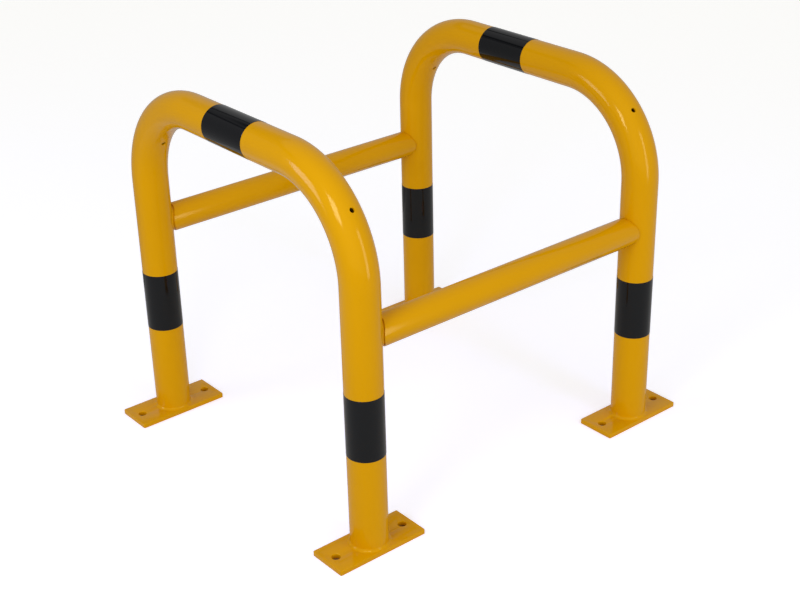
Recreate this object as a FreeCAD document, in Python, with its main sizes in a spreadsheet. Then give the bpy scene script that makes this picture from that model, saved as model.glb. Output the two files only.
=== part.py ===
"""Steel column guard: two bent tube hoops joined by two cross tubes, standing on four bolted plates.

Frame: millimetres, Z up, floor at Z = 0, origin under the middle of the guarded column.
X runs along the cross tubes and Y across each hoop. Left and right are -X and +X, front and
rear are -Y and +Y. Each sub-part is built about its own origin and set in place by its Placement.
"""
import FreeCAD, Part
import math
import os
import Sketcher

Vector = FreeCAD.Vector
X_AXIS = Vector(1, 0, 0)
Z_AXIS = Vector(0, 0, 1)

SIZES = (
    ("overall_height", 625.0, "floor to the top of a hoop"),
    ("leg_spacing", 566.0, "between the two leg axes of one hoop, along Y"),
    ("hoop_spacing", 582.0, "between the planes of the two hoops, along X"),
    ("hoop_diameter", 60.3, "outside diameter of the hoop tube"),
    ("hoop_wall", 2.9, "wall of the hoop tube"),
    ("bend_radius", 155.0, "bend radius of a hoop on the tube axis"),
    ("vent_diameter", 8.0, "vent hole drilled through each bend"),
    ("front_left_vent_angle", 38.5, "place of the front left vent on its bend, from the horizontal"),
    ("front_right_vent_angle", 41.0, "place of the front right vent on its bend, from the horizontal"),
    ("rear_vent_angle", 37.5, "place of each rear vent on its bend, from the horizontal"),
    ("front_right_vent_shift", 6.0, "how far the front right vent is drilled off the middle, to the left"),
    ("cross_diameter", 48.3, "outside diameter of a cross tube"),
    ("cross_wall", 2.6, "wall of a cross tube"),
    ("cross_height", 360.0, "floor to the axis of a cross tube"),
    ("joint_gap", 2.7, "gap between a saddle end and its leg when the cross tube is centred"),
    ("front_slide", 0.7, "how far the front cross tube sits towards the right hoop"),
    ("rear_slide", 1.1, "how far the rear cross tube sits towards the right hoop"),
    ("spigot_diameter", 42.4, "outside diameter of a spigot tube inside a cross tube"),
    ("spigot_wall", 2.6, "wall of a spigot tube"),
    ("spigot_reach", 60.0, "how far a spigot stands off its leg"),
    ("spigot_bead", 1.4, "weld bead around the root of a spigot"),
    ("plate_length", 165.0, "base plate along X"),
    ("plate_width", 70.0, "base plate along Y"),
    ("plate_thickness", 8.0, "base plate thickness"),
    ("plate_corner", 2.0, "corner radius of a base plate"),
    ("plate_edge", 0.3, "rounding of the upper rim of a base plate"),
    ("anchor_spacing", 130.0, "between the two anchor holes of a base plate"),
    ("anchor_diameter", 14.0, "anchor hole, for an M12 anchor bolt"),
    ("foot_weld", 4.5, "leg length of the fillet weld around the foot of a leg"),
    ("foot_weld_hollow", 0.5, "how far the face of that fillet weld is hollowed"),
    ("band_length", 104.0, "length of a black band along its tube"),
    ("band_film", 0.3, "thickness of the black film"),
    ("leg_band_height", 219.0, "floor to the middle of a leg band"),
    ("left_top_band_offset", 4.5, "middle of the left top band, towards the rear"),
    ("right_top_band_offset", 22.0, "middle of the right top band, towards the rear"),
)

# Each corner leg: name, side along X, side along Y.
CORNERS = (
    ("front_left", -1, -1),
    ("rear_left", -1, 1),
    ("rear_right", 1, 1),
    ("front_right", 1, -1),
)

LEAST_CUT = 1.0  # cubic millimetres that a working pocket removes at the very least

doc = FreeCAD.newDocument("column_guard")


def make_sheet():
    """Driving dimensions: one row each, value in column B under an alias."""
    sheet = doc.addObject("Spreadsheet::Sheet", "Sizes")
    for row, (alias, value, meaning) in enumerate(SIZES, start=1):
        sheet.set(f"A{row}", alias.replace("_", " "))
        sheet.set(f"B{row}", str(value))
        sheet.set(f"C{row}", meaning)
        sheet.setAlias(f"B{row}", alias)
    doc.recompute()
    return sheet


def new_body(label, x_expr="0", y_expr="0", z_expr="0", turned=False):
    """An empty body named label, placed by expressions and optionally turned half round about Z."""
    body = doc.addObject("PartDesign::Body", label)
    body.Label = label
    if turned:
        body.Placement = FreeCAD.Placement(Vector(), FreeCAD.Rotation(Z_AXIS, 180))
    for axis, expression in zip("xyz", (x_expr, y_expr, z_expr)):
        body.setExpression(f".Placement.Base.{axis}", expression)
    return body


def new_sketch(body, name, plane_role):
    """A sketch of the body, attached to one of its own origin planes."""
    sketch = body.newObject("Sketcher::SketchObject", name)
    plane = next(f for f in body.Origin.OriginFeatures if f.Role == plane_role)
    sketch.AttachmentSupport = (plane, [""])
    sketch.MapMode = "FlatFace"
    return sketch


def constrain(sketch, name, expression, *constraint):
    """Add a dimensional constraint and bind it to an expression of the sheet."""
    index = sketch.addConstraint(Sketcher.Constraint(*constraint))
    sketch.renameConstraint(index, name)
    sketch.setExpression(f"Constraints.{name}", expression)


def add_circle(sketch, name, diameter, diameter_expr, x=0.0, x_expr=None, y=0.0, y_expr=None):
    """A circle whose diameter follows the sheet; its centre too, where an expression is given."""
    index = sketch.addGeometry(Part.Circle(Vector(x, y, 0), Z_AXIS, diameter / 2))
    for axis, place, expression in (("X", x, x_expr), ("Y", y, y_expr)):
        if expression is None:
            kind = "PointOnObject"
            sketch.addConstraint(Sketcher.Constraint(kind, index, 3, -2 if axis == "X" else -1))
        else:
            ends = (-1, 1, index, 3) if place > 0 else (index, 3, -1, 1)
            constrain(sketch, f"{name}_{axis}", expression, f"Distance{axis}", *ends, abs(place))
    constrain(sketch, f"{name}_diameter", diameter_expr, "Diameter", index, diameter)


def pad(body, sketch, name, length_expr, symmetric=False):
    """Extrude a sketch along its normal, or half each way when symmetric."""
    feature = body.newObject("PartDesign::Pad", name)
    feature.Profile = sketch
    if symmetric:
        feature.SideType = "Symmetric"
    feature.setExpression("Length", length_expr)
    sketch.Visibility = False
    doc.recompute()


def pocket(body, sketch, name, length_expr, symmetric=False, along_normal=False):
    """Cut a sketch out of the body and make sure that it removed material."""
    before = body.Shape.Volume
    feature = body.newObject("PartDesign::Pocket", name)
    feature.Profile = sketch
    feature.Reversed = along_normal
    if symmetric:
        feature.SideType = "Symmetric"
    feature.setExpression("Length", length_expr)
    sketch.Visibility = False
    doc.recompute()
    if body.Shape.Volume > before - LEAST_CUT:
        raise RuntimeError(f"{body.Label}: {name} removed nothing")


def fillet(body, name, radius_expr, wanted):
    """Round the edges of the body's current tip for which wanted(edge) holds."""
    base = body.Tip
    edges = [f"Edge{i}" for i, edge in enumerate(base.Shape.Edges, start=1) if wanted(edge)]
    feature = body.newObject("PartDesign::Fillet", name)
    feature.Base = (base, edges)
    feature.setExpression("Radius", radius_expr)
    doc.recompute()


def add_ring(sketch, outer, outer_expr, inner, inner_expr, **centre):
    """Two concentric circles: the section of a round tube."""
    add_circle(sketch, "outer", outer, outer_expr, **centre)
    add_circle(sketch, "inner", inner, inner_expr, **centre)


def make_hoop(label, side, sizes, front_vent_angle, front_vent_shift=None):
    """Inverted-U hoop of round tube: straight leg, bend, top, bend, leg, with a vent in each bend.

    front_vent_angle names the size that places the front vent. Where front_vent_shift names a size, the
    front vent is drilled that far off the middle, towards -X.
    """
    body = new_body(label, x_expr=f"{side} * Sizes.hoop_spacing / 2")
    half = sizes.leg_spacing / 2
    bend = sizes.bend_radius
    foot = sizes.plate_thickness
    crown = sizes.overall_height - sizes.hoop_diameter / 2
    spring = crown - bend

    path = new_sketch(body, f"{label}_path", "YZ_Plane")
    path.addGeometry([
        Part.LineSegment(Vector(-half, foot, 0), Vector(-half, spring, 0)),
        Part.ArcOfCircle(Part.Circle(Vector(bend - half, spring, 0), Z_AXIS, bend), math.pi / 2, math.pi),
        Part.LineSegment(Vector(bend - half, crown, 0), Vector(half - bend, crown, 0)),
        Part.ArcOfCircle(Part.Circle(Vector(half - bend, spring, 0), Z_AXIS, bend), 0, math.pi / 2),
        Part.LineSegment(Vector(half, spring, 0), Vector(half, foot, 0)),
    ])
    path.addConstraint([
        Sketcher.Constraint("Vertical", 0),
        Sketcher.Constraint("Vertical", 4),
        Sketcher.Constraint("Horizontal", 2),
        Sketcher.Constraint("Tangent", 0, 2, 1, 2),
        Sketcher.Constraint("Tangent", 1, 1, 2, 1),
        Sketcher.Constraint("Tangent", 2, 2, 3, 2),
        Sketcher.Constraint("Tangent", 3, 1, 4, 1),
        Sketcher.Constraint("Equal", 1, 3),
        Sketcher.Constraint("Symmetric", 0, 1, 4, 2, -2),
    ])
    constrain(path, "legs", "Sizes.leg_spacing", "DistanceX", 0, 1, 4, 2, 2 * half)
    constrain(path, "foot", "Sizes.plate_thickness", "DistanceY", -1, 1, 0, 1, foot)
    constrain(path, "crown", "Sizes.overall_height - Sizes.hoop_diameter / 2",
              "DistanceY", -1, 1, 2, 1, crown)
    constrain(path, "bend", "Sizes.bend_radius", "Radius", 1, bend)

    section = new_sketch(body, f"{label}_section", "XY_Plane")
    section.setExpression(".AttachmentOffset.Base.z", "Sizes.plate_thickness")
    bore = sizes.hoop_diameter - 2 * sizes.hoop_wall
    add_ring(section, sizes.hoop_diameter, "Sizes.hoop_diameter",
             bore, "Sizes.hoop_diameter - 2 * Sizes.hoop_wall",
             y=-half, y_expr="Sizes.leg_spacing / 2")
    doc.recompute()

    tube = body.newObject("PartDesign::AdditivePipe", f"{label}_tube")
    tube.Profile = section
    tube.Spine = (path, [f"Edge{i}" for i in range(1, 6)])
    section.Visibility = False
    path.Visibility = False
    doc.recompute()

    for name, way, angle in (("front", -1, front_vent_angle), ("rear", 1, "rear_vent_angle")):
        vent = new_sketch(body, f"{label}_vent_{name}", "XY_Plane")
        tilt = -way * (90 - getattr(sizes, angle))
        vent.AttachmentOffset = FreeCAD.Placement(Vector(), FreeCAD.Rotation(X_AXIS, tilt))
        vent.setExpression(".AttachmentOffset.Rotation.Angle", f"90 - Sizes.{angle}")
        vent.setExpression(".AttachmentOffset.Base.y", f"{way} * (Sizes.leg_spacing / 2 - Sizes.bend_radius)")
        vent.setExpression(".AttachmentOffset.Base.z",
                           "Sizes.overall_height - Sizes.hoop_diameter / 2 - Sizes.bend_radius")
        place = {}
        if name == "front" and front_vent_shift:
            place = {"x": -getattr(sizes, front_vent_shift), "x_expr": f"Sizes.{front_vent_shift}"}
        add_circle(vent, "vent", sizes.vent_diameter, "Sizes.vent_diameter", **place)
        doc.recompute()
        pocket(body, vent, f"{label}_vent_hole_{name}", "Sizes.bend_radius + Sizes.hoop_diameter",
               along_normal=True)
    return body


def make_cross_tube(label, side, slide, sizes):
    """Straight tube between the hoops, both ends cut to a saddle that stands just off the legs."""
    body = new_body(label, y_expr=f"{side} * Sizes.leg_spacing / 2", z_expr="Sizes.cross_height")
    section = new_sketch(body, f"{label}_section", "YZ_Plane")
    bore = sizes.cross_diameter - 2 * sizes.cross_wall
    add_ring(section, sizes.cross_diameter, "Sizes.cross_diameter",
             bore, "Sizes.cross_diameter - 2 * Sizes.cross_wall")
    doc.recompute()
    pad(body, section, f"{label}_tube", "Sizes.hoop_spacing", symmetric=True)

    for name, way in (("left", -1), ("right", 1)):
        saddle = new_sketch(body, f"{label}_saddle_{name}", "XY_Plane")
        gap = f"Sizes.joint_gap - {way} * Sizes.{slide}"
        cut = sizes.hoop_diameter + 2 * (sizes.joint_gap - way * getattr(sizes, slide))
        add_circle(saddle, "saddle", cut, f"Sizes.hoop_diameter + 2 * ({gap})",
                   x=way * sizes.hoop_spacing / 2, x_expr="Sizes.hoop_spacing / 2")
        doc.recompute()
        pocket(body, saddle, f"{label}_saddle_cut_{name}", "2 * Sizes.cross_diameter", symmetric=True)
    return body


def make_spigot(corner, side_x, side_y, sizes):
    """Short stub tube welded to a leg, which the end of a cross tube slides over."""
    label = f"spigot_{corner}"
    body = new_body(label, f"{side_x} * Sizes.hoop_spacing / 2", f"{side_y} * Sizes.leg_spacing / 2",
                    "Sizes.cross_height", turned=side_x > 0)
    section = new_sketch(body, f"{label}_section", "YZ_Plane")
    bore = sizes.spigot_diameter - 2 * sizes.spigot_wall
    add_ring(section, sizes.spigot_diameter, "Sizes.spigot_diameter",
             bore, "Sizes.spigot_diameter - 2 * Sizes.spigot_wall")
    doc.recompute()
    pad(body, section, f"{label}_tube", "Sizes.hoop_diameter / 2 + Sizes.spigot_reach")
    saddle = new_sketch(body, f"{label}_saddle", "XY_Plane")
    add_circle(saddle, "leg", sizes.hoop_diameter, "Sizes.hoop_diameter")
    doc.recompute()
    pocket(body, saddle, f"{label}_saddle_cut", "2 * Sizes.cross_diameter", symmetric=True)
    return body


def make_spigot_weld(corner, side_x, side_y, sizes):
    """Small weld bead that follows the saddle line between a spigot and its leg."""
    label = f"spigot_weld_{corner}"
    body = new_body(label, f"{side_x} * Sizes.hoop_spacing / 2", f"{side_y} * Sizes.leg_spacing / 2",
                    "Sizes.cross_height", turned=side_x > 0)
    cover = new_sketch(body, f"{label}_cover", "XY_Plane")
    add_ring(cover, sizes.hoop_diameter + 2 * sizes.spigot_bead, "Sizes.hoop_diameter + 2 * Sizes.spigot_bead",
             sizes.hoop_diameter, "Sizes.hoop_diameter")
    doc.recompute()
    pad(body, cover, f"{label}_cover_pad", "Sizes.spigot_diameter + 4 * Sizes.spigot_bead", symmetric=True)

    outside = new_sketch(body, f"{label}_outside", "YZ_Plane")
    add_ring(outside, 4 * sizes.hoop_diameter, "4 * Sizes.hoop_diameter",
             sizes.spigot_diameter + 2 * sizes.spigot_bead, "Sizes.spigot_diameter + 2 * Sizes.spigot_bead")
    doc.recompute()
    pocket(body, outside, f"{label}_outside_cut", "4 * Sizes.hoop_diameter", symmetric=True)

    inside = new_sketch(body, f"{label}_inside", "YZ_Plane")
    add_circle(inside, "spigot", sizes.spigot_diameter, "Sizes.spigot_diameter")
    doc.recompute()
    pocket(body, inside, f"{label}_inside_cut", "4 * Sizes.hoop_diameter", symmetric=True)

    far_side = new_sketch(body, f"{label}_far_side", "YZ_Plane")
    add_circle(far_side, "all", 4 * sizes.hoop_diameter, "4 * Sizes.hoop_diameter")
    doc.recompute()
    pocket(body, far_side, f"{label}_far_side_cut", "4 * Sizes.hoop_diameter")
    return body


def make_base_plate(corner, side_x, side_y, sizes):
    """Flat rectangular plate with rounded corners and two anchor holes beside the leg."""
    label = f"base_plate_{corner}"
    body = new_body(label, f"{side_x} * Sizes.hoop_spacing / 2", f"{side_y} * Sizes.leg_spacing / 2")
    outline = new_sketch(body, f"{label}_outline", "XY_Plane")
    half_x = sizes.plate_length / 2
    half_y = sizes.plate_width / 2
    corners = [Vector(-half_x, -half_y, 0), Vector(half_x, -half_y, 0),
               Vector(half_x, half_y, 0), Vector(-half_x, half_y, 0)]
    outline.addGeometry([Part.LineSegment(a, b) for a, b in zip(corners, corners[1:] + corners[:1])])
    outline.addConstraint(
        [Sketcher.Constraint("Coincident", i, 2, (i + 1) % 4, 1) for i in range(4)]
        + [Sketcher.Constraint("Horizontal", i) for i in (0, 2)]
        + [Sketcher.Constraint("Vertical", i) for i in (1, 3)]
        + [Sketcher.Constraint("Symmetric", 0, 1, 2, 1, -1, 1)])
    constrain(outline, "length", "Sizes.plate_length", "DistanceX", 0, 1, 0, 2, 2 * half_x)
    constrain(outline, "width", "Sizes.plate_width", "DistanceY", 1, 1, 1, 2, 2 * half_y)
    doc.recompute()
    pad(body, outline, f"{label}_slab", "Sizes.plate_thickness")

    holes = new_sketch(body, f"{label}_anchors", "XY_Plane")
    for name, way in (("left", -1), ("right", 1)):
        add_circle(holes, name, sizes.anchor_diameter, "Sizes.anchor_diameter",
                   x=way * sizes.anchor_spacing / 2, x_expr="Sizes.anchor_spacing / 2")
    doc.recompute()
    pocket(body, holes, f"{label}_anchor_holes", "Sizes.plate_thickness", along_normal=True)

    def is_corner(edge):
        low, high = edge.BoundBox.ZMin, edge.BoundBox.ZMax
        return isinstance(edge.Curve, Part.Line) and high - low > sizes.plate_thickness / 2

    def is_upper_rim(edge):
        middle = edge.CenterOfMass
        on_top = edge.BoundBox.ZMin > sizes.plate_thickness - 1e-6
        on_rim = max(abs(middle.x) - half_x, abs(middle.y) - half_y) > -sizes.plate_corner
        return on_top and on_rim

    fillet(body, f"{label}_corners", "Sizes.plate_corner", is_corner)
    fillet(body, f"{label}_upper_rim", "Sizes.plate_edge", is_upper_rim)
    return body


def make_foot_weld(corner, side_x, side_y, sizes):
    """Fillet weld that runs all round the foot of a leg, with a slightly hollow face."""
    label = f"base_weld_{corner}"
    body = new_body(label, f"{side_x} * Sizes.hoop_spacing / 2", f"{side_y} * Sizes.leg_spacing / 2",
                    "Sizes.plate_thickness")
    root = sizes.hoop_diameter / 2
    leg = sizes.foot_weld
    section = new_sketch(body, f"{label}_section", "XZ_Plane")
    bulge = leg / 2 - sizes.foot_weld_hollow / math.sqrt(2)
    face = Part.Arc(Vector(root + leg, 0, 0), Vector(root + bulge, bulge, 0), Vector(root, leg, 0))
    section.addGeometry([
        Part.LineSegment(Vector(root, 0, 0), Vector(root + leg, 0, 0)),
        face,
        Part.LineSegment(Vector(root, leg, 0), Vector(root, 0, 0)),
    ])
    doc.recompute()
    toe, crest = (1, 2) if section.getPoint(1, 1).x > section.getPoint(1, 2).x else (2, 1)
    section.addConstraint([
        Sketcher.Constraint("Coincident", 0, 2, 1, toe),
        Sketcher.Constraint("Coincident", 2, 1, 1, crest),
        Sketcher.Constraint("Coincident", 2, 2, 0, 1),
        Sketcher.Constraint("Horizontal", 0),
        Sketcher.Constraint("Vertical", 2),
        Sketcher.Constraint("PointOnObject", 0, 1, -1),
    ])
    radius = section.Geometry[1].Radius
    constrain(section, "root", "Sizes.hoop_diameter / 2", "DistanceX", -1, 1, 0, 1, root)
    constrain(section, "toe", "Sizes.foot_weld", "DistanceX", 0, 1, 0, 2, leg)
    constrain(section, "crest", "Sizes.foot_weld", "DistanceY", 2, 2, 2, 1, leg)
    constrain(section, "face_radius",
              "Sizes.foot_weld ^ 2 / (4 * Sizes.foot_weld_hollow) + Sizes.foot_weld_hollow / 2",
              "Radius", 1, radius)
    doc.recompute()
    ring = body.newObject("PartDesign::Revolution", f"{label}_ring")
    ring.Profile = section
    ring.ReferenceAxis = (section, ["V_Axis"])
    ring.Angle = 360
    section.Visibility = False
    doc.recompute()
    return body


def make_band(label, plane_role, x_expr, y_expr, z_expr, sizes):
    """Black self-adhesive film wrapped once around a hoop tube."""
    body = new_body(label, x_expr, y_expr, z_expr)
    section = new_sketch(body, f"{label}_section", plane_role)
    add_ring(section, sizes.hoop_diameter + 2 * sizes.band_film, "Sizes.hoop_diameter + 2 * Sizes.band_film",
             sizes.hoop_diameter, "Sizes.hoop_diameter")
    doc.recompute()
    pad(body, section, f"{label}_film", "Sizes.band_length", symmetric=True)
    return body


def check_and_export(bodies):
    """Refuse broken features or shapes, then write one STEP file per sub-part."""
    doc.recompute()
    for item in doc.Objects:
        if "Invalid" in item.State or "Error" in item.State:
            raise RuntimeError(f"{item.Name} is {item.State}")
    os.makedirs("parts", exist_ok=True)
    for body in bodies:
        shape = body.Shape
        if shape.isNull() or not shape.isValid() or len(shape.Solids) != 1:
            raise RuntimeError(f"{body.Label}: bad shape")
        shape.exportStep(f"parts/{body.Label}.step")
        box = shape.optimalBoundingBox()
        print(f"{body.Label:28s} {shape.Volume / 1000:9.2f} cm3   X {box.XMin:8.2f} {box.XMax:8.2f}"
              f"   Y {box.YMin:8.2f} {box.YMax:8.2f}   Z {box.ZMin:8.2f} {box.ZMax:8.2f}")


def main():
    """Build every sub-part of the guard."""
    sizes = make_sheet()
    bodies = [
        make_hoop("hoop_left", -1, sizes, "front_left_vent_angle"),
        make_hoop("hoop_right", 1, sizes, "front_right_vent_angle", "front_right_vent_shift"),
        make_cross_tube("cross_tube_front", -1, "front_slide", sizes),
        make_cross_tube("cross_tube_rear", 1, "rear_slide", sizes),
    ]
    for corner, side_x, side_y in CORNERS:
        bodies.append(make_base_plate(corner, side_x, side_y, sizes))
        bodies.append(make_foot_weld(corner, side_x, side_y, sizes))
        bodies.append(make_spigot(corner, side_x, side_y, sizes))
        bodies.append(make_spigot_weld(corner, side_x, side_y, sizes))
        bodies.append(make_band(f"leg_band_{corner}", "XY_Plane", f"{side_x} * Sizes.hoop_spacing / 2",
                                f"{side_y} * Sizes.leg_spacing / 2", "Sizes.leg_band_height", sizes))
    for name, side_x in (("left", -1), ("right", 1)):
        bodies.append(make_band(f"top_band_{name}", "XZ_Plane", f"{side_x} * Sizes.hoop_spacing / 2",
                                f"Sizes.{name}_top_band_offset",
                                "Sizes.overall_height - Sizes.hoop_diameter / 2", sizes))
    check_and_export(bodies)


main()
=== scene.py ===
"""Steel column guard: yellow powder-coated hoops and cross tubes with glossy black film bands.

Metres, Z up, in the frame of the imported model. X runs along the cross tubes, Y across the hoops.
"""

import math

import bpy
from mathutils import Matrix, Quaternion, Vector


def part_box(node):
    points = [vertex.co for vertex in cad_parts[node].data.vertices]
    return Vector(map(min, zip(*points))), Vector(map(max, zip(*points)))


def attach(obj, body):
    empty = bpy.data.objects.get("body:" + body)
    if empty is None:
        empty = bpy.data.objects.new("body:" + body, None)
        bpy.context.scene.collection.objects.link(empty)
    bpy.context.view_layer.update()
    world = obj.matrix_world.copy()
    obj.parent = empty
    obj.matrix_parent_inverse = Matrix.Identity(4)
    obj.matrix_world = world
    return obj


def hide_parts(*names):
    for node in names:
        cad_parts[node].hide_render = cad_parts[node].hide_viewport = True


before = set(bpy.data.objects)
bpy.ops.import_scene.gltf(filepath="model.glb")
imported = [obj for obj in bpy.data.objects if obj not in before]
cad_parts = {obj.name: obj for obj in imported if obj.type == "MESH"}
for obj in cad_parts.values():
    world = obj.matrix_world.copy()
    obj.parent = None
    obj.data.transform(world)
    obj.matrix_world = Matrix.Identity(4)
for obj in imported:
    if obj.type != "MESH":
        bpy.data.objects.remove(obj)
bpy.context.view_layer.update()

MM = 0.001

# Sizes of the real pieces that a node's box doesn't tell. Vents are placed in degrees up their bend.
BEND_RADIUS = 155 * MM
HOOP_WALL = 2.9 * MM
VENT_RADIUS = 4 * MM
FRONT_VENT_ANGLES = {"left": 38.5, "right": 41.0}
REAR_VENT_ANGLE = 37.5
FRONT_RIGHT_VENT_SHIFT = -6 * MM
CROSS_WALL = 2.6 * MM
PLATE_CORNER = 2 * MM
ANCHOR_RADIUS = 7 * MM
ANCHOR_SPACING = 130 * MM
FILM = 0.3 * MM
FILM_LAP = 14 * MM

# How the paint rounds what the steel has sharp, and how far a weld reaches into the steel behind it.
PAINTED_EDGE = 0.5 * MM
WELD_DEPTH = 0.4 * MM

# How finely the round shapes are divided.
TUBE_SIDES = 96
BEND_STEPS = 36
DRILL_SIDES = 40
WELD_SIDES = 180
WELD_STEPS = 10

# Turns in degrees: they lay each film's lap out of sight, and show another side of each weld.
LEG_LAPS = {"front_left": 62, "rear_left": 20, "rear_right": 118, "front_right": 84}
TOP_LAPS = {"left": -70, "right": -95}
WELD_TURNS = {"front_left": 0, "rear_left": 130, "rear_right": 205, "front_right": 290}

# The room by sine of elevation: how much the ceiling adds to the walls, and how much the gap takes away.
CEILING = ((0.0, 0.0), (0.6, 0.0), (0.72, 0.1), (1.0, 0.1))
GAP = ((0.0, 0.0), (0.545, 0.0), (0.553, 0.8), (0.572, 0.8), (0.58, 0.3), (0.6, 0.3), (0.61, 0.85),
       (0.655, 0.85), (0.67, 0.0), (1.0, 0.0))

# How much the pale floor glows by itself, and the cool colour of the lamps in the neutral room.
FLOOR_GLOW = 0.44
COOL = (0.8, 0.92, 2.4)

# Camera: where it stands, where it points, and its lens.
CAMERA_PLACE = Vector((-1.4243, -1.7697, 1.3471))
CAMERA_AZIMUTH = math.radians(-39.04)
CAMERA_ELEVATION = math.radians(26.42)
CAMERA_ROLL = math.radians(-1.455)
CAMERA_LENS = 66.39


# ---------------------------------------------------------------- modelling

def deselect_everything():
    """Leave edit mode and select nothing."""
    if bpy.context.mode != "OBJECT":
        bpy.ops.object.mode_set(mode="OBJECT")
    bpy.ops.object.select_all(action="DESELECT")


def take(piece):
    """Select one piece alone and make it the active one."""
    deselect_everything()
    piece.select_set(True)
    bpy.context.view_layer.objects.active = piece


def added(operator, **settings):
    """Add a primitive on its own and open it in edit mode, all selected."""
    deselect_everything()
    operator(**settings)
    bpy.ops.object.mode_set(mode="EDIT")
    bpy.ops.mesh.select_mode(type="VERT")
    bpy.ops.mesh.select_all(action="SELECT")
    return bpy.context.object


def extrude(offset):
    """Extrude what is selected by a vector."""
    bpy.ops.mesh.extrude_region_move(TRANSFORM_OT_translate={"value": Vector(offset)})


def pick(piece, mode, wanted):
    """Open a piece in edit mode with only the vertices, edges or faces selected that are wanted."""
    take(piece)
    bpy.ops.object.mode_set(mode="EDIT")
    bpy.ops.mesh.select_mode(type=mode)
    bpy.ops.mesh.select_all(action="DESELECT")
    bpy.ops.object.mode_set(mode="OBJECT")
    mesh = piece.data
    elements = {"VERT": mesh.vertices, "EDGE": mesh.edges, "FACE": mesh.polygons}[mode]
    for element in elements:
        element.select = wanted(element)
    bpy.ops.object.mode_set(mode="EDIT")


def modify(piece, kind, **settings):
    """Add a modifier and apply it."""
    take(piece)
    modifier = piece.modifiers.new(kind.title(), kind)
    for key, value in settings.items():
        setattr(modifier, key, value)
    bpy.ops.object.modifier_apply(modifier=modifier.name)


def face_outwards(piece):
    """Merge doubles and turn every face outwards."""
    take(piece)
    bpy.ops.object.mode_set(mode="EDIT")
    bpy.ops.mesh.select_all(action="SELECT")
    bpy.ops.mesh.remove_doubles(threshold=0.001 * MM)
    bpy.ops.mesh.normals_make_consistent(inside=False)
    bpy.ops.object.mode_set(mode="OBJECT")


def set_in_place(piece, place=Vector(), turn=Quaternion()):
    """Turn and move a piece that was modelled about the origin, and leave its object at the origin."""
    take(piece)
    piece.matrix_world = Matrix.LocRotScale(place, turn, None) @ piece.matrix_world
    bpy.ops.object.transform_apply(location=True, rotation=True, scale=True)


def copied(piece):
    """A copy of a piece, with a mesh of its own."""
    take(piece)
    bpy.ops.object.duplicate(linked=False)
    return bpy.context.object


def lathed(name, stations, sides, closed=False):
    """A round body about +Z from rings of (height, radius): capped, or closed into a ring."""
    (height, radius), *rest = stations
    piece = added(bpy.ops.mesh.primitive_circle_add, vertices=sides, radius=radius, location=(0, 0, height),
                  fill_type="NOTHING" if closed else "NGON")
    piece.name = name
    for next_height, next_radius in rest:
        extrude((0, 0, next_height - height))
        scale = next_radius / radius
        bpy.ops.transform.resize(value=(scale, scale, 1), center_override=(0, 0, next_height))
        height, radius = next_height, next_radius
    deselect_everything()
    if closed:
        count = len(piece.data.vertices)
        first = set(range(sides))
        last = set(range(count - sides, count))
        pick(piece, "EDGE", lambda edge: set(edge.vertices) <= first or set(edge.vertices) <= last)
        bpy.ops.mesh.bridge_edge_loops()
    set_in_place(piece)
    face_outwards(piece)
    return piece


def cut(piece, tool):
    """Cut a tool out of a piece and throw the tool away."""
    modify(piece, "BOOLEAN", operation="DIFFERENCE", solver="EXACT", object=tool)
    bpy.data.objects.remove(tool)


def drill(radius, start, end, lip):
    """A drill along +Z whose two ends flare by lip, which leaves soft painted rims on the hole."""
    flare = [(0.0, lip), (0.35 * lip, 0.35 * lip), (lip, 0.0)]
    low = [(start + depth, radius + wider) for depth, wider in flare]
    high = [(end - depth, radius + wider) for depth, wider in reversed(flare)]
    beyond = radius + lip + MM
    return lathed("drill", [(start - MM, beyond), *low, *high, (end + MM, beyond)], DRILL_SIDES)


def finished(piece, name, material, node, angle=35):
    """Name and paint a piece, shade it, hang it on the frame and let it stand for its CAD node."""
    take(piece)
    piece.name = name
    piece.data.name = name
    piece.data.materials.clear()
    piece.data.materials.append(material)
    bpy.ops.object.shade_smooth_by_angle(angle=math.radians(angle))
    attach(piece, "root")
    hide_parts(node)


# ---------------------------------------------------------------- shader maths

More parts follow.
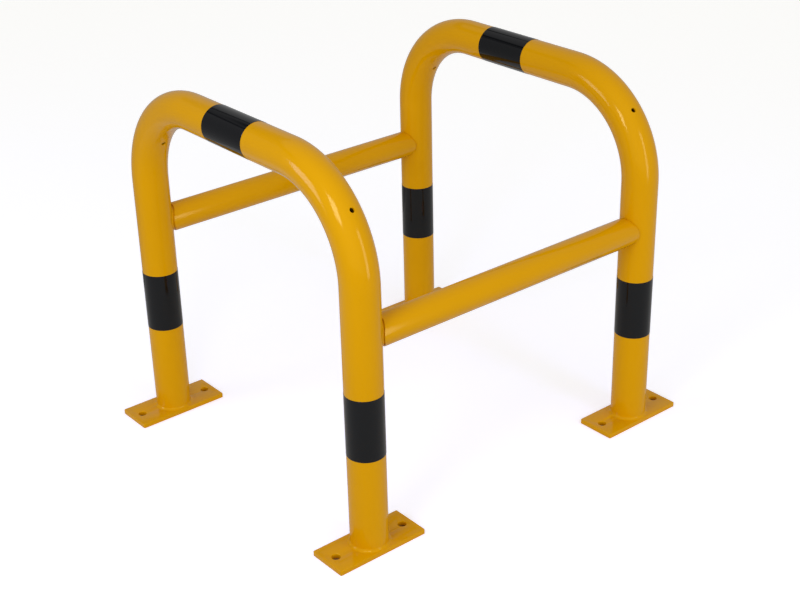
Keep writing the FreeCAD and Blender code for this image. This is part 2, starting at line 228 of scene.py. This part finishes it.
class Wire:
    """An output socket of a node tree. Arithmetic on it adds Math nodes to the tree."""

    def __init__(self, tree, socket=None):
        self.tree = tree
        self.socket = socket

    def node(self, kind, settings=None, inputs=None, output=0):
        """Add any node: its settings or ramp stops first, then the values or links of its sockets."""
        node = self.tree.nodes.new(kind)
        for key, value in (settings or {}).items():
            if key == "stops":
                while len(node.color_ramp.elements) < len(value):
                    node.color_ramp.elements.new(1.0)
                for element, (position, level) in zip(node.color_ramp.elements, value):
                    element.position = position
                    element.color = (level, level, level, 1)
            else:
                setattr(node, key, value)
        for key, value in (inputs or {}).items():
            if isinstance(value, Wire):
                self.tree.links.new(value.socket, node.inputs[key])
            else:
                node.inputs[key].default_value = value
        return Wire(self.tree, node.outputs[output] if len(node.outputs) else None)

    def math(self, operation, first, second):
        """A Math node on two sockets or values."""
        return self.node("ShaderNodeMath", {"operation": operation}, {0: first, 1: second})

    def __add__(self, other):
        return self.math("ADD", self, other)

    def __sub__(self, other):
        return self.math("SUBTRACT", self, other)

    def __rsub__(self, other):
        return self.math("SUBTRACT", other, self)

    def __mul__(self, other):
        return self.math("MULTIPLY", self, other)

    def __gt__(self, other):
        return self.math("GREATER_THAN", self, other)

    def __lt__(self, other):
        return self.math("LESS_THAN", self, other)

    __radd__ = __add__
    __rmul__ = __mul__

    def noise(self, scale, detail=2.0, roughness=0.5):
        """Noise between 0 and 1 at these coordinates, with features about 1 / scale metres wide."""
        inputs = {"Vector": self, "Scale": scale, "Detail": detail, "Roughness": roughness}
        return self.node("ShaderNodeTexNoise", {}, inputs, "Fac")

    def relief(self, depth):
        """A normal from this height, with so many metres between its 0 and 1."""
        return self.node("ShaderNodeBump", {}, {"Height": self, "Distance": depth}, "Normal")

    def between(self, low, high):
        """A colour that goes from low to high as this goes from 0 to 1."""
        return self.node("ShaderNodeMix", {"data_type": "RGBA"}, {"Factor": self, 6: low, 7: high}, 2)


def new_material(name, paint):
    """A node material: paint(object coordinates) gives the inputs of its closing shader."""
    material = bpy.data.materials.new(name)
    material.use_nodes = True
    material.node_tree.nodes.clear()
    tree = Wire(material.node_tree)
    where = tree.node("ShaderNodeTexCoord", output="Object")
    shader = tree.node("ShaderNodeBsdfPrincipled", {}, paint(where))
    tree.node("ShaderNodeOutputMaterial", {}, {"Surface": shader})
    return material


# ---------------------------------------------------------------- materials

def powder_coat(where):
    """Glossy golden yellow powder coat: a trace of orange peel and cloudiness, and a few dust nibs."""
    cloud = where.noise(7.0, 3.0)
    peel = where.noise(330.0)
    grain = where.noise(1500.0, 1.0)
    nib = where.node("ShaderNodeTexVoronoi", {}, {"Vector": where, "Scale": 34.0}, "Distance") < 0.02
    return {
        "Base Color": cloud.between((0.82, 0.379, 0.0, 1), (0.78, 0.360, 0.0, 1)),
        "Roughness": 0.09 + 0.05 * cloud + 0.03 * grain,
        "Normal": (peel + 0.2 * grain + 2.0 * nib).relief(0.006 * MM),
        "Specular Tint": (1.0, 0.8, 0.16, 1.0),
        "IOR": 1.5,
    }


def black_film(along):
    """Glossy black film that was wrapped by hand: faint waves and hair scratches along the tube."""
    def paint(where):
        stretch = tuple(0.1 if axis == along else 1.0 for axis in "XYZ")
        drawn = where.node("ShaderNodeMapping", {"vector_type": "POINT"},
                           {"Vector": where, "Scale": stretch})
        waves = drawn.noise(50.0, 1.0)
        hairs = drawn.noise(2600.0, 2.0, 0.7)
        return {
            "Base Color": (0.003, 0.0034, 0.0033, 1),
            "Roughness": 0.04 + 0.05 * hairs,
            "Normal": (waves + 0.01 * hairs).relief(0.012 * MM),
            "IOR": 1.4,
        }
    return paint


YELLOW = new_material("yellow powder coat", powder_coat)
FILM_UPRIGHT = new_material("black film on a leg", black_film("Z"))
FILM_LEVEL = new_material("black film on a top", black_film("Y"))


# ---------------------------------------------------------------- pieces

def centre_of(node):
    """The middle of a node's box."""
    low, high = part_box(node)
    return (low + high) / 2


def half_of(node):
    """Half the size of a node's box."""
    low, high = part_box(node)
    return (high - low) / 2


def foot_of(node):
    """The middle of the underside of a node's box."""
    return centre_of(node) - Vector((0, 0, half_of(node).z))


def model_hoop():
    """One bent tube over the origin: an open ring drawn up a leg, spun round two bends, given its wall."""
    half = half_of("hoop_left")
    radius = half.x
    leg = half.y - radius
    spring = 2 * half.z - radius - BEND_RADIUS
    hoop = added(bpy.ops.mesh.primitive_circle_add, vertices=TUBE_SIDES, radius=radius,
                 location=(0, -leg, 0), fill_type="NOTHING")
    extrude((0, 0, spring))
    for way in (-1, 1):
        bpy.ops.mesh.spin(steps=BEND_STEPS, angle=math.pi / 2, axis=(1, 0, 0),
                          center=(0, way * (leg - BEND_RADIUS), spring))
        if way < 0:
            extrude((0, 2 * (leg - BEND_RADIUS), 0))
    extrude((0, 0, -spring))
    set_in_place(hoop)
    face_outwards(hoop)
    modify(hoop, "SOLIDIFY", thickness=HOOP_WALL, offset=-1, use_even_offset=True)
    return hoop


def drill_vent(hoop, way, degrees, shift=0.0):
    """A vent through both walls of the front (-1) or rear (1) bend, so many degrees up it."""
    half = half_of("hoop_left")
    radius = half.x
    vent = drill(VENT_RADIUS, BEND_RADIUS - radius, BEND_RADIUS + radius, PAINTED_EDGE)
    bend = Vector((shift, way * (half.y - radius - BEND_RADIUS), 2 * half.z - radius - BEND_RADIUS))
    set_in_place(vent, bend, Quaternion((1, 0, 0), -way * math.radians(90 - degrees)))
    cut(hoop, vent)


def model_cross_tube():
    """A straight tube about the origin along X: its ends pulled into saddles, with soft painted rims."""
    half = half_of("cross_tube_front")
    radius = half.z
    leg_axis = centre_of("hoop_right").x
    short = 12 * MM
    tube = added(bpy.ops.mesh.primitive_circle_add, vertices=TUBE_SIDES, radius=radius,
                 location=(short - half.x, 0, 0), rotation=(0, math.pi / 2, 0), fill_type="NOTHING")
    extrude((2 * (half.x - short), 0, 0))
    set_in_place(tube)
    face_outwards(tube)
    modify(tube, "SOLIDIFY", thickness=CROSS_WALL, offset=-1, use_even_offset=True)
    clear = math.hypot(leg_axis - half.x, radius)
    for way in (-1, 1):
        former = lathed("saddle former", [(-60 * MM, clear), (60 * MM, clear)], 4 * TUBE_SIDES)
        set_in_place(former, Vector((way * leg_axis, 0, 0)))
        end = tube.vertex_groups.new(name="end")
        end.add([v.index for v in tube.data.vertices if v.co.x * way > 0], 1.0, "REPLACE")
        modify(tube, "SHRINKWRAP", target=former, wrap_method="PROJECT", use_project_x=True,
               use_positive_direction=True, use_negative_direction=True, vertex_group="end")
        tube.vertex_groups.clear()
        bpy.data.objects.remove(former)
    modify(tube, "BEVEL", width=PAINTED_EDGE, segments=3, limit_method="ANGLE",
           angle_limit=math.radians(35))
    return tube


def model_base_plate():
    """Sawn flat bar about the origin: barely rounded corners, soft rims and two drilled anchor holes."""
    half = half_of("base_plate_front_left")
    plate = added(bpy.ops.mesh.primitive_cube_add, size=1)
    bpy.ops.transform.resize(value=2 * half, center_override=(0, 0, 0))
    set_in_place(plate)

    def heights(edge):
        return [plate.data.vertices[index].co.z for index in edge.vertices]

    pick(plate, "EDGE", lambda edge: max(heights(edge)) - min(heights(edge)) > half.z)
    bpy.ops.mesh.bevel(offset=PLATE_CORNER, segments=6)
    pick(plate, "EDGE", lambda edge: min(heights(edge)) > 0.99 * half.z)
    bpy.ops.mesh.bevel(offset=PAINTED_EDGE, segments=3)
    pick(plate, "EDGE", lambda edge: max(heights(edge)) < -0.99 * half.z)
    bpy.ops.mesh.bevel(offset=0.4 * PAINTED_EDGE, segments=2)
    deselect_everything()
    for way in (-1, 1):
        hole = drill(ANCHOR_RADIUS, -half.z, half.z, PAINTED_EDGE)
        set_in_place(hole, Vector((way * ANCHOR_SPACING / 2, 0, 0)))
        cut(plate, hole)
    return plate


def model_foot_weld():
    """Fillet weld on its plate about the origin: a hollow run, laid by hand and smoothed by thick paint."""
    half = half_of("base_weld_front_left")
    leg = 2 * half.z
    outer = half.x
    root = outer - leg
    hollow = 0.75  # share of the quarter round in the face; the rest is a straight slope
    profile = [(-WELD_DEPTH, outer)]
    for step in range(WELD_STEPS + 1):
        share = step / WELD_STEPS
        turn = share * math.pi / 2
        round_height = leg * (1 - math.cos(turn))
        round_radius = outer - leg * math.sin(turn)
        profile.append((hollow * round_height + (1 - hollow) * leg * share,
                        hollow * round_radius + (1 - hollow) * (outer - leg * share)))
    profile += [(leg, root - WELD_DEPTH), (-WELD_DEPTH, root - WELD_DEPTH)]
    weld = lathed("foot weld", profile, WELD_SIDES, closed=True)
    lumps = bpy.data.textures.new("weld lumps", "CLOUDS")
    lumps.noise_scale = 6 * MM
    modify(weld, "DISPLACE", texture=lumps, strength=1.5 * MM, mid_level=0.5, texture_coords="LOCAL")
    return weld


def model_film():
    """One turn of film about the origin along Z: soft edges, and a lap at +X over its own start."""
    half = half_of("leg_band_front_left")
    outer = half.x
    inner = outer - FILM
    edge = 0.3 * FILM
    profile = [(-half.z, inner), (-half.z, outer - edge), (edge - half.z, outer),
               (half.z - edge, outer), (half.z, outer - edge), (half.z, inner)]
    film = lathed("film", profile, 2 * TUBE_SIDES, closed=True)
    reach = FILM_LAP / 2 / outer

    def in_lap(face):
        outward = Vector((face.center.x, face.center.y, 0)).normalized()
        return face.normal.dot(outward) > 0.9 and math.acos(min(outward.x, 1)) < reach

    pick(film, "FACE", in_lap)
    bpy.ops.mesh.extrude_region_shrink_fatten(TRANSFORM_OT_shrink_fatten={"value": 0.8 * FILM})
    deselect_everything()
    return film


def upright(degrees):
    """A turn about Z."""
    return Quaternion((0, 0, 1), math.radians(degrees))


def place_hoops():
    """Both hoops, each with its two vents."""
    model = model_hoop()
    for side in ("left", "right"):
        hoop = copied(model)
        drill_vent(hoop, -1, FRONT_VENT_ANGLES[side], FRONT_RIGHT_VENT_SHIFT if side == "right" else 0)
        drill_vent(hoop, 1, REAR_VENT_ANGLE)
        set_in_place(hoop, foot_of(f"hoop_{side}"))
        finished(hoop, f"hoop_tube_{side}", YELLOW, f"hoop_{side}")
    bpy.data.objects.remove(model)


def place_cross_tubes():
    """The front and the rear cross tube."""
    model = model_cross_tube()
    for side in ("front", "rear"):
        tube = copied(model)
        set_in_place(tube, centre_of(f"cross_tube_{side}"))
        finished(tube, f"cross_bar_{side}", YELLOW, f"cross_tube_{side}")
    bpy.data.objects.remove(model)


def place_feet():
    """The plate and the weld under each leg."""
    plate_model = model_base_plate()
    weld_model = model_foot_weld()
    for corner, degrees in WELD_TURNS.items():
        plate = copied(plate_model)
        set_in_place(plate, centre_of(f"base_plate_{corner}"))
        finished(plate, f"floor_plate_{corner}", YELLOW, f"base_plate_{corner}")
        weld = copied(weld_model)
        set_in_place(weld, foot_of(f"base_weld_{corner}"), upright(degrees))
        finished(weld, f"foot_weld_{corner}", YELLOW, f"base_weld_{corner}", angle=60)
    bpy.data.objects.remove(plate_model)
    bpy.data.objects.remove(weld_model)


def place_films():
    """The film round each leg and round each hoop's top."""
    model = model_film()
    for corner, degrees in LEG_LAPS.items():
        film = copied(model)
        node = f"leg_band_{corner}"
        set_in_place(film, centre_of(node), upright(degrees))
        finished(film, f"leg_film_{corner}", FILM_UPRIGHT, node, angle=40)
    for side, degrees in TOP_LAPS.items():
        film = copied(model)
        node = f"top_band_{side}"
        set_in_place(film, centre_of(node), Quaternion((1, 0, 0), math.pi / 2) @ upright(degrees))
        finished(film, f"top_film_{side}", FILM_LEVEL, node, angle=40)
    bpy.data.objects.remove(model)


def paint_spigots():
    """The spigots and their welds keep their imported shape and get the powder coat."""
    for node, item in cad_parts.items():
        if node.startswith("spigot"):
            item.material_slots[0].material = YELLOW


place_hoops()
place_cross_tubes()
place_feet()
place_films()
paint_spigots()


# ---------------------------------------------------------------- studio

def plain(colour, glow=0.0):
    """The inputs of an even stage surface."""
    return lambda where: {"Base Color": (*colour, 1), "Roughness": 0.9,
                          "Emission Color": (1, 1, 1, 1), "Emission Strength": glow}


def make_sheet(name, low, high, height, paint):
    """A level stage sheet between two corners."""
    deselect_everything()
    bpy.ops.mesh.primitive_plane_add(size=1)
    sheet = bpy.context.object
    sheet.name = name
    sheet.scale = (high.x - low.x, high.y - low.y, 1)
    set_in_place(sheet, Vector(((low.x + high.x) / 2, (low.y + high.y) / 2, height)))
    sheet.data.materials.append(new_material(name, paint))
    return sheet


def make_floor():
    """The floor: a pale sheet for the eye over a smaller one that lights the guard from below."""
    pale = make_sheet("pale_floor", Vector((-30, -30)), Vector((30, 30)), -0.1 * MM,
                      plain((0.9, 0.89, 0.83), FLOOR_GLOW))
    pale.visible_diffuse = False
    pale.visible_glossy = False
    bounce = make_sheet("bounce_floor", Vector((-3.5, -4.0)), Vector((3.5, 0.8)), -0.15 * MM,
                        plain((0.95, 0.95, 0.95)))
    bounce.visible_camera = False
    # Under each plate a dark brown sheet of painted shade: the floor as it looks in shadow through the
    # anchor holes.
    for corner in WELD_TURNS:
        low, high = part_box(f"base_plate_{corner}")
        make_sheet(f"shade_{corner}", low + Vector((MM, MM, 0)), high - Vector((MM, MM, 0)), -0.05 * MM,
                   plain((0.25, 0.12, 0.02)))


def make_softbox(name, place, target, width, height, radiance):
    """An upright softbox at a place, turned towards a target, of so much radiance."""
    light = bpy.data.lights.new(name, "AREA")
    light.shape = "RECTANGLE"
    light.size = width
    light.size_y = height
    light.energy = radiance * math.pi * width * height
    light.color = COOL
    box = bpy.data.objects.new(name, light)
    box.location = place
    box.rotation_mode = "QUATERNION"
    box.rotation_quaternion = (Vector(place) - Vector(target)).to_track_quat("Z", "Y")
    box.visible_camera = False
    bpy.context.scene.collection.objects.link(box)


def make_room():
    """The pale room: brightest in front on the left, with a dark gap under its ceiling behind."""
    world = bpy.data.worlds.new("studio")
    world.use_nodes = True
    world.node_tree.nodes.clear()
    tree = Wire(world.node_tree)
    where = tree.node("ShaderNodeTexCoord", output="Generated")
    along, depth, height = (where.node("ShaderNodeSeparateXYZ", {}, {"Vector": where}, axis)
                            for axis in "XYZ")
    # Along points right and depth points backwards.
    walls = 0.69 - 0.18 * along - 0.31 * depth + 0.43 * along * depth
    ceiling = height.node("ShaderNodeValToRGB", {"stops": CEILING}, {"Fac": height}, "Color")
    gap = height.node("ShaderNodeValToRGB", {"stops": GAP}, {"Fac": height}, "Color")
    behind = (depth > 0.5) * (along < 0.35)
    radiance = walls * (1 + ceiling) * (1 - gap * behind)
    light = tree.node("ShaderNodeBackground", {}, {"Strength": radiance})
    tree.node("ShaderNodeOutputWorld", {}, {"Surface": light})
    bpy.context.scene.world = world


def make_camera():
    """The camera at the viewing angle."""
    camera = bpy.data.objects.new("camera", bpy.data.cameras.new("camera"))
    camera.data.lens = CAMERA_LENS
    camera.data.clip_end = 100
    across = math.cos(CAMERA_ELEVATION)
    back = Vector((math.sin(CAMERA_AZIMUTH) * across, -math.cos(CAMERA_AZIMUTH) * across,
                   math.sin(CAMERA_ELEVATION)))
    camera.rotation_mode = "QUATERNION"
    camera.rotation_quaternion = (-back).to_track_quat("-Z", "Y") @ Quaternion((0, 0, 1), CAMERA_ROLL)
    camera.location = CAMERA_PLACE
    bpy.context.scene.collection.objects.link(camera)
    bpy.context.scene.camera = camera


deselect_everything()
make_floor()
make_room()
make_softbox("small lamp", place=(-0.97, -0.55, 1.06), target=(-0.2, -0.2, 0.5),
             width=0.26, height=0.38, radiance=7.5)
make_softbox("front strip", place=(0.28, -2.16, 0.8), target=(0, 0, 0.5),
             width=0.42, height=1.5, radiance=3.0)
make_softbox("left strip", place=(-2.2, 0.85, 1.0), target=(0, 0, 0.5),
             width=0.85, height=0.8, radiance=3.2)
make_camera()
bpy.context.scene.view_settings.view_transform = "Standard"
